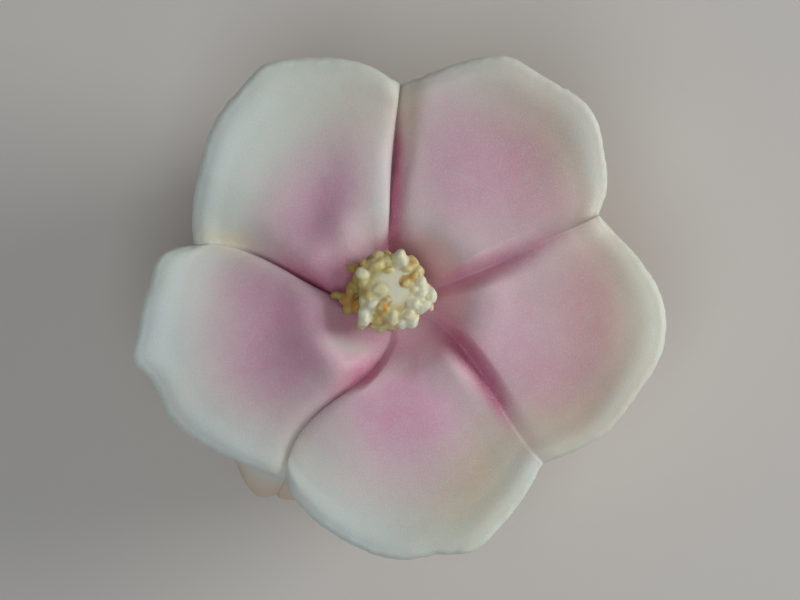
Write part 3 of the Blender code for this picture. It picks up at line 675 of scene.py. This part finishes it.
AMBER = (0.640, 0.300, 0.030, 1.0)
# Painted shade: ochre for the crumbs that lie low in the heart and on the left.
SHADE_OCHRE = (0.400, 0.270, 0.080, 1.0)


def crumb_places():
    """Every crumb as place, half sizes, turn and tints: those named above, then rows down the column."""
    random = np.random.default_rng(CRUMB_SEED)
    rows = list(CRUMBS)
    for row, (height, radius, count) in enumerate(LOWER_ROWS):
        for i in range(count):
            angle = 2.0 * math.pi * (i + 0.5 * row) / count + random.uniform(-0.15, 0.15)
            out = radius + random.uniform(-0.1, 0.3)
            half = random.uniform(*LOWER_SIZES)
            rows.append((out * math.cos(angle), out * math.sin(angle), height + random.uniform(-0.25, 0.25),
                         half, half * random.uniform(1.0, 1.4), math.degrees(angle) + random.uniform(0.0, 90.0),
                         random.uniform(0.5, 1.0), random.uniform(0.1, 0.7)))
    return np.array(rows)


def unit_ball(subdivisions):
    """The points and triangles of an even ball of radius 1."""
    shape = bmesh.new()
    bmesh.ops.create_icosphere(shape, subdivisions=subdivisions, radius=1.0)
    shape.verts.ensure_lookup_table()
    points = np.array([v.co[:] for v in shape.verts])
    faces = np.array([[v.index for v in f.verts] for f in shape.faces])
    shape.free()
    return points, faces


def stamens_material():
    """Sieved yellow paste: cream where it is smooth, yellow in the crumbs and amber where it is toasted, with
    ochre as painted shade on the crumbs that lie low in the heart and on the left."""
    made, tree, shader = shader_of("crumbs")
    where = tree.nodes.new("ShaderNodeTexCoord").outputs["Object"]
    uneven = math_node(tree, "MULTIPLY_ADD", link_noise(tree, where, 1600.0, 3.0), 0.5, -0.30)
    yellow = math_node(tree, "ADD", painted(tree, "yellow"), uneven)
    colour = mix_colours(tree, yellow, CREAM_WHITE, CRUMB_YELLOW)
    # Painted shade: ochre on the low and left crumbs.
    colour = mix_colours(tree, painted(tree, "crumb_shade"), colour, SHADE_OCHRE)
    toasted = patches(tree, link_noise(tree, where, 1100.0, 2.0), 0.40, 0.64, 1.0)
    colour = mix_colours(tree, math_node(tree, "MULTIPLY", painted(tree, "brown"), toasted), colour, AMBER)
    finish_paste(tree, shader, where, colour, roughness=0.42, specular=0.5, bleed=(1.0, 0.8, 0.45),
                 depth=0.8 * MM, grain_scale=4200.0, strength=0.4, height=0.05 * MM)
    return made


def column_rings():
    """The column under the crumbs: a crowned stub, its profile turned about its axis."""
    profile = np.array(COLUMN)
    fine = np.linspace(0.0, 1.0, 60)
    knots = np.linspace(0.0, 1.0, len(profile))
    radius = np.interp(fine, knots, profile[:, 0])[:, None] * MM
    height = STAMENS_TOP + np.interp(fine, knots, profile[:, 1])[:, None] * MM
    angle = np.linspace(0.0, 2.0 * math.pi, 96, endpoint=False)[None, :]
    return np.stack((radius * np.cos(angle), radius * np.sin(angle), height + 0.0 * angle), axis=-1)


def crumb_shapes(rows, ball):
    """Each crumb as a blunt, lumpy kernel: a ball squared off by a power of its coordinates, squeezed to its
    half sizes, turned, and pushed in and out by ripples."""
    blunt = np.sign(ball) * np.abs(ball) ** CRUMB_BLUNT
    half = CRUMB_SWELL * np.stack((rows[:, 4], rows[:, 3], 0.5 * (rows[:, 3] + rows[:, 4])), axis=-1)
    shapes = blunt[None] * half[:, None, :]
    turn = np.radians(rows[:, 5])[:, None]
    x = shapes[..., 0] * np.cos(turn) - shapes[..., 1] * np.sin(turn)
    y = shapes[..., 0] * np.sin(turn) + shapes[..., 1] * np.cos(turn)
    shapes = np.stack((x, y, shapes[..., 2]), axis=-1)
    places = shapes + rows[:, None, :3]
    lumps = 1.0 + relief_of(places * MM, CRUMB_RELIEF)
    return (rows[:, None, :3] + shapes * lumps[..., None]) * MM


def melted(points, faces):
    """One closed skin round overlapping shapes: laid out anew in small even squares, and eased a little."""
    mesh = bpy.data.meshes.new("overlapping")
    mesh.from_pydata(points.tolist(), [], faces)
    rough = bpy.data.objects.new("overlapping", mesh)
    bpy.context.scene.collection.objects.link(rough)
    remesh = rough.modifiers.new("melt", "REMESH")
    remesh.mode = "VOXEL"
    remesh.voxel_size = VOXEL
    easing = rough.modifiers.new("ease", "SMOOTH")
    easing.factor = 0.5
    easing.iterations = MELT_STEPS
    skin = bpy.data.meshes.new_from_object(rough.evaluated_get(bpy.context.evaluated_depsgraph_get()))
    bpy.data.objects.remove(rough)
    bpy.data.meshes.remove(mesh)
    skin.name = "stamens_crumbs"
    keep_one_shell(skin)
    skin.shade_smooth()
    return skin


def keep_one_shell(mesh):
    """Takes off the specks that melting leaves: all that doesn't hang together with the highest point."""
    shape = bmesh.new()
    shape.from_mesh(mesh)
    highest = max(shape.verts, key=lambda vertex: vertex.co.z)
    kept, front = {highest}, [highest]
    while front:
        here = front.pop()
        fresh = [other for other in (edge.other_vert(here) for edge in here.link_edges) if other not in kept]
        kept.update(fresh)
        front.extend(fresh)
    bmesh.ops.delete(shape, geom=[vertex for vertex in shape.verts if vertex not in kept], context="VERTS")
    shape.to_mesh(mesh)
    shape.free()


def crumb_tints(points, rows):
    """How yellow and how brown each point is: the mean of the crumbs near it, each by its closeness, and the
    column's own tints where no crumb is near, with painted shade added the lower it lies in the heart. Also
    how much ochre it gets as painted shade, the lower it lies and the further out to the left."""
    half_sizes = 0.5 * (rows[:, 3] + rows[:, 4])
    away = np.linalg.norm(points[:, None, :] / MM - rows[None, :, :3], axis=-1) / half_sizes
    near = np.exp(-TINT_REACH * away ** 2)
    out = np.hypot(points[:, 0] - CAP_AT[0], points[:, 1] - CAP_AT[1])
    own = math.exp(-TINT_REACH * OWN_REACH ** 2)
    total = near.sum(axis=1) + own
    bare = ease((out - PATCH_RADIUS) / PATCH_FADE)
    yellow = (near @ rows[:, 6] + own * (0.15 + 0.85 * bare)) / total
    brown = (near @ rows[:, 7] + own * 0.3 * bare) / total
    # Painted shade: the lower a point lies in the heart, the more yellow and brown it gets.
    sunk = ease((CRUMB_SHADE_LEVEL - points[:, 2]) / SUNK_SHADE_DEPTH)
    # Painted shade: ochre, the more the lower a point lies and the further to the left.
    crumb_shade = ease((CRUMB_SHADE_LEVEL - points[:, 2] - 0.8 * (points[:, 0] + 1.5 * MM)) / OCHRE_SHADE_DEPTH)
    return np.clip(yellow + 0.3 * sunk, 0.0, 1.0), np.clip(1.2 * brown + 0.2 * sunk, 0.0, 1.0), 0.75 * crumb_shade


def make_stamens(centre):
    """The crumbs and the column that they cover, melted into one skin."""
    rows = crumb_places()
    ball, triangles = unit_ball(3)
    count = len(rows)
    places = crumb_shapes(rows, ball)
    places[..., 2] = np.clip(places[..., 2], STAMENS_FOOT, STAMENS_TOP + 0.3 * MM)

    rings = column_rings()
    column = skin_mesh("column", rings, rings[0].mean(axis=0), rings[-1].mean(axis=0))
    column_faces = [tuple(p.vertices) for p in column.polygons]
    column_points = np.array([v.co[:] for v in column.vertices])
    bpy.data.meshes.remove(column)
    start = len(column_points) + (np.arange(count) * len(ball))[:, None, None]
    crumb_faces = (triangles[None] + start).reshape(-1, 3)
    mesh = melted(np.vstack((column_points, places.reshape(-1, 3))), column_faces + crumb_faces.tolist())

    points = np.empty(len(mesh.vertices) * 3)
    mesh.vertices.foreach_get("co", points)
    points = points.reshape(-1, 3)
    for name, values in zip(("yellow", "brown", "crumb_shade"), crumb_tints(points, rows)):
        put_attribute(mesh, name, values)
    points += (STAMENS_AT[0] - centre[0], STAMENS_AT[1] - centre[1], 0.0)
    mesh.vertices.foreach_set("co", points.ravel())
    stamens = bpy.data.objects.new("stamens_crumbs", mesh)
    bpy.context.scene.collection.objects.link(stamens)
    mesh.materials.append(stamens_material())
    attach(stamens, "root")
    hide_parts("stamens")


# The photograph's frame: 0.1 mm a pixel at the level of the petals' edges, seen from straight above.
FRAME_PIXELS = (800, 600)
PIXEL = 0.1 * MM
FLOWER_MIDDLE_PIXEL = (399.5, 307.5)
EDGE_LEVEL = 26.0 * MM
CAMERA_HEIGHT = 300.0 * MM   # above that level
SENSOR_WIDTH = 36.0

# The lamps: name, place, size, power and colour, in metres and watts. Both face the middle of the sweet.
LAMPS = (
    ("window", (0.454, 0.096, 0.207), 0.25, 1.32, (1.0, 0.99, 0.97)),
    ("sky", (-0.044, -0.122, 0.503), 0.28, 0.62, (0.96, 0.99, 1.0)),
)
LAMP_TARGET = (0.0, 0.0, 0.02)
AIR_COLOUR = (0.96, 0.98, 1.0, 1.0)
AIR_STRENGTH = 0.12
FLOOR_COLOUR = (0.74, 0.72, 0.69, 1.0)
FLOOR_HALF = 0.6             # half the floor's width


def make_camera():
    """Straight above the frame's middle, as wide as the photograph at the level of the petals' edges."""
    data = bpy.data.cameras.new("camera")
    data.sensor_width = SENSOR_WIDTH
    data.lens = SENSOR_WIDTH * CAMERA_HEIGHT / (FRAME_PIXELS[0] * PIXEL)
    data.clip_start = 0.01
    camera = bpy.data.objects.new("camera", data)
    x = (FRAME_PIXELS[0] / 2 - FLOWER_MIDDLE_PIXEL[0]) * PIXEL
    y = (FLOWER_MIDDLE_PIXEL[1] - FRAME_PIXELS[1] / 2) * PIXEL
    camera.location = (x, y, EDGE_LEVEL + CAMERA_HEIGHT)
    bpy.context.scene.collection.objects.link(camera)
    bpy.context.scene.camera = camera


def area_light(name, place, size, power, colour):
    """A soft square lamp facing the sweet."""
    data = bpy.data.lights.new(name, "AREA")
    data.shape = "SQUARE"
    data.size = size
    data.energy = power
    data.color = colour
    lamp = bpy.data.objects.new(name, data)
    lamp.location = place
    lamp.rotation_euler = (Vector(LAMP_TARGET) - Vector(place)).to_track_quat("-Z", "Y").to_euler()
    bpy.context.scene.collection.objects.link(lamp)


def make_floor():
    """A plain pale surface under the sweet."""
    mesh = bpy.data.meshes.new("floor")
    corners = [(x * FLOOR_HALF, y * FLOOR_HALF, 0.0) for x, y in ((-1, -1), (1, -1), (1, 1), (-1, 1))]
    mesh.from_pydata(corners, [], [(0, 1, 2, 3)])
    floor = bpy.data.objects.new("floor", mesh)
    bpy.context.scene.collection.objects.link(floor)
    made, tree, shader = shader_of("floor")
    shader.inputs["Base Color"].default_value = FLOOR_COLOUR
    shader.inputs["Roughness"].default_value = 0.8
    mesh.materials.append(made)


def make_light():
    """Soft window light from the right, a cool sky from nearly overhead, and even light from all round."""
    for lamp in LAMPS:
        area_light(*lamp)
    world = bpy.data.worlds.new("world")
    world.use_nodes = True
    world.node_tree.nodes["Background"].inputs["Color"].default_value = AIR_COLOUR
    world.node_tree.nodes["Background"].inputs["Strength"].default_value = AIR_STRENGTH
    bpy.context.scene.world = world
    bpy.context.scene.view_settings.view_transform = "Standard"


make_camera()
make_light()
make_floor()
make_stamens(make_flower())
